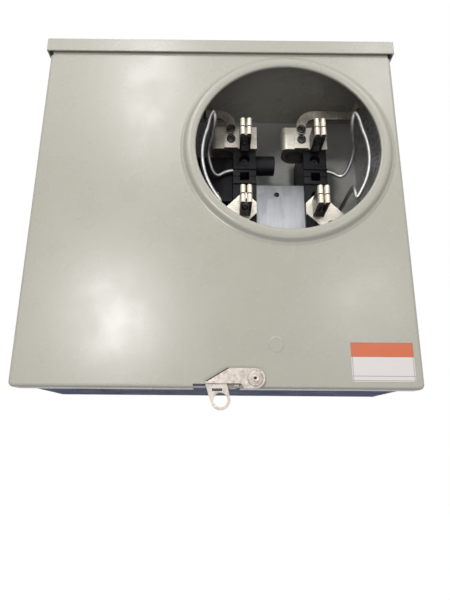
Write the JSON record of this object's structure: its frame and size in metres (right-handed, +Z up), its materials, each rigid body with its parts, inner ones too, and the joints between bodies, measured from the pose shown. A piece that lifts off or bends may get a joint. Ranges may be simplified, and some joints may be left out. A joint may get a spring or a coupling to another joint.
{
  "type": "meter socket enclosure",
  "caption": "Wall-hung sheet-steel enclosure with a round raised meter opening over a jaw socket, a hinged cover under a rain cap and a pivoting padlock latch.",
  "frame": {"origin": "middle of the back face that lies on the wall, half way up the box", "axes": "+Y into the wall, -Y to the person in front, +X to their right, +Z up"},
  "size_m": [0.32, 0.1226, 0.3345],
  "materials": {
    "painted_grey": "satin powder coat",
    "zinc_plate": "zinc plated",
    "galvanised": "galvanised",
    "tinned_aluminium": "tin plated",
    "black_moulding": "moulded",
    "black_steel": "black oxide",
    "green_screw": "green dye",
    "label_paper": "paper",
    "label_face": "printed film, blank"
  },
  "bodies": {
    "box": {"body_shell": "painted_grey", "floor_wall": "painted_grey", "rain_cap": "painted_grey", "wireway_knockout": "painted_grey", "meter_knockout": "painted_grey", "ground_knockout": "painted_grey", "keeper": "zinc_plate", "keeper_rivets": "zinc_plate", "rim_wire_left": "zinc_plate", "rim_wire_right": "zinc_plate", "centre_bracket": "galvanised", "line_terminal_left": "tinned_aluminium", "line_terminal_right": "tinned_aluminium", "load_terminal_left": "tinned_aluminium", "load_terminal_right": "tinned_aluminium", "line_jaw_left": "tinned_aluminium", "line_jaw_right": "tinned_aluminium", "load_jaw_left": "tinned_aluminium", "load_jaw_right": "tinned_aluminium", "line_horn_left": "tinned_aluminium", "line_horn_right": "tinned_aluminium", "neutral_bar": "tinned_aluminium", "neutral_lugs": "tinned_aluminium", "left_block": "black_moulding", "right_block": "black_moulding", "neutral_insulator": "black_moulding", "neutral_sleeve": "black_moulding", "block_screws": "black_steel", "jaw_springs": "black_steel", "jaw_screws": "black_steel", "lug_screws": "black_steel", "horn_screws": "black_steel", "centre_screws": "black_steel", "neutral_screws": "black_steel", "ground_screw": "green_screw", "inner_label": "label_paper"},
    "cover": {"cover": "painted_grey", "cover_label": "label_face", "latch_spacer": "zinc_plate", "latch_rivet": "zinc_plate"},
    "latch": {"latch_arm": "zinc_plate"}
  },
  "joints": [
    {"name": "cover_swing", "type": "hinge", "parent": "box", "child": "cover", "pos_m": [0, -0.1183, 0.146], "axis": [-1, 0, 0], "range_deg": [0, 20]},
    {"name": "latch_turn", "type": "hinge", "parent": "cover", "child": "latch", "pos_m": [0.0288, -0.12, -0.1528], "axis": [0, 1, 0], "range_deg": [0, 75]}
  ]
}
